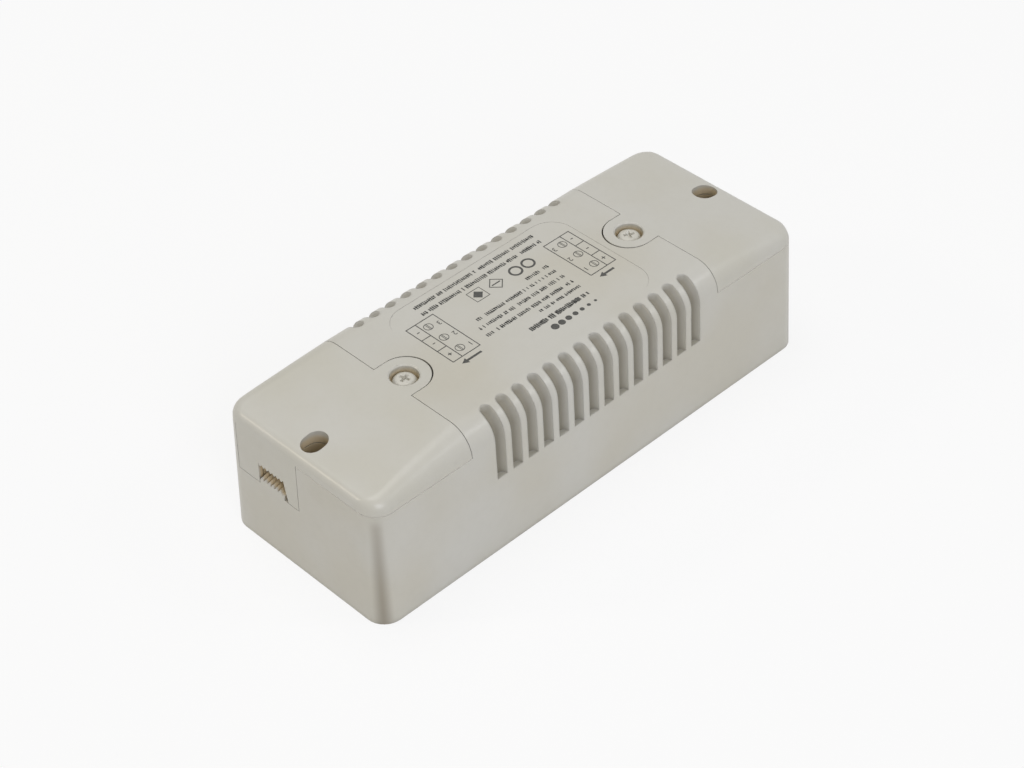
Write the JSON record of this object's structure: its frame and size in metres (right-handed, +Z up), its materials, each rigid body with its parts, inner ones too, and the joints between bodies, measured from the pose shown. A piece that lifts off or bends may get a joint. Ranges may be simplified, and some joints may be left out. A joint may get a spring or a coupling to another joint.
{
  "type": "led strip dimmer receiver",
  "caption": "Moulded box of a receiver that dims LED strips, with vent grooves, screwed end covers over the terminals, serrated cable clamps and fixing slots.",
  "frame": {"origin": "middle of the underside, on the surface that the box is fixed to", "axes": "+X along the box from the output end to the input end, +Z up out of the mounting surface"},
  "size_m": [0.13, 0.0494, 0.036],
  "materials": {
    "ivory_plastic": "moulded satin",
    "label_print": "smooth film",
    "screw_steel": "plated",
    "board_laminate": "solder resist",
    "terminal_plastic": "moulded",
    "cage_brass": "nickel washed",
    "black_epoxy": "moulded",
    "tinned_metal": "tinned",
    "capacitor_sleeve": "shrunk sleeve",
    "ferrite": "sintered",
    "copper_wire": "enamelled",
    "radio_laminate": "solder resist",
    "fuse_plastic": "moulded",
    "resistor_body": "glazed",
    "ceramic": "fired"
  },
  "bodies": {
    "root": {"housing": "ivory_plastic", "base_plate": "ivory_plastic", "output_cover": "ivory_plastic", "input_cover": "ivory_plastic", "cover_screws": "screw_steel", "rating_label": "label_print", "circuit_board": "board_laminate", "board_screws": "screw_steel", "output_terminal_block": "terminal_plastic", "output_terminal_cages": "cage_brass", "output_terminal_screws": "screw_steel", "input_terminal_block": "terminal_plastic", "input_terminal_cages": "cage_brass", "input_terminal_screws": "screw_steel", "power_transistors": "black_epoxy", "transistor_tabs": "tinned_metal", "smoothing_capacitors": "capacitor_sleeve", "choke_core": "ferrite", "choke_winding": "copper_wire", "regulator_chip": "black_epoxy", "controller_chip": "black_epoxy", "timing_crystal": "tinned_metal", "radio_board": "radio_laminate", "radio_chip": "black_epoxy", "antenna_wire": "copper_wire", "input_fuse": "fuse_plastic", "protection_diode": "black_epoxy", "chip_resistors": "resistor_body", "chip_capacitors": "ceramic"}
  },
  "joints": []
}
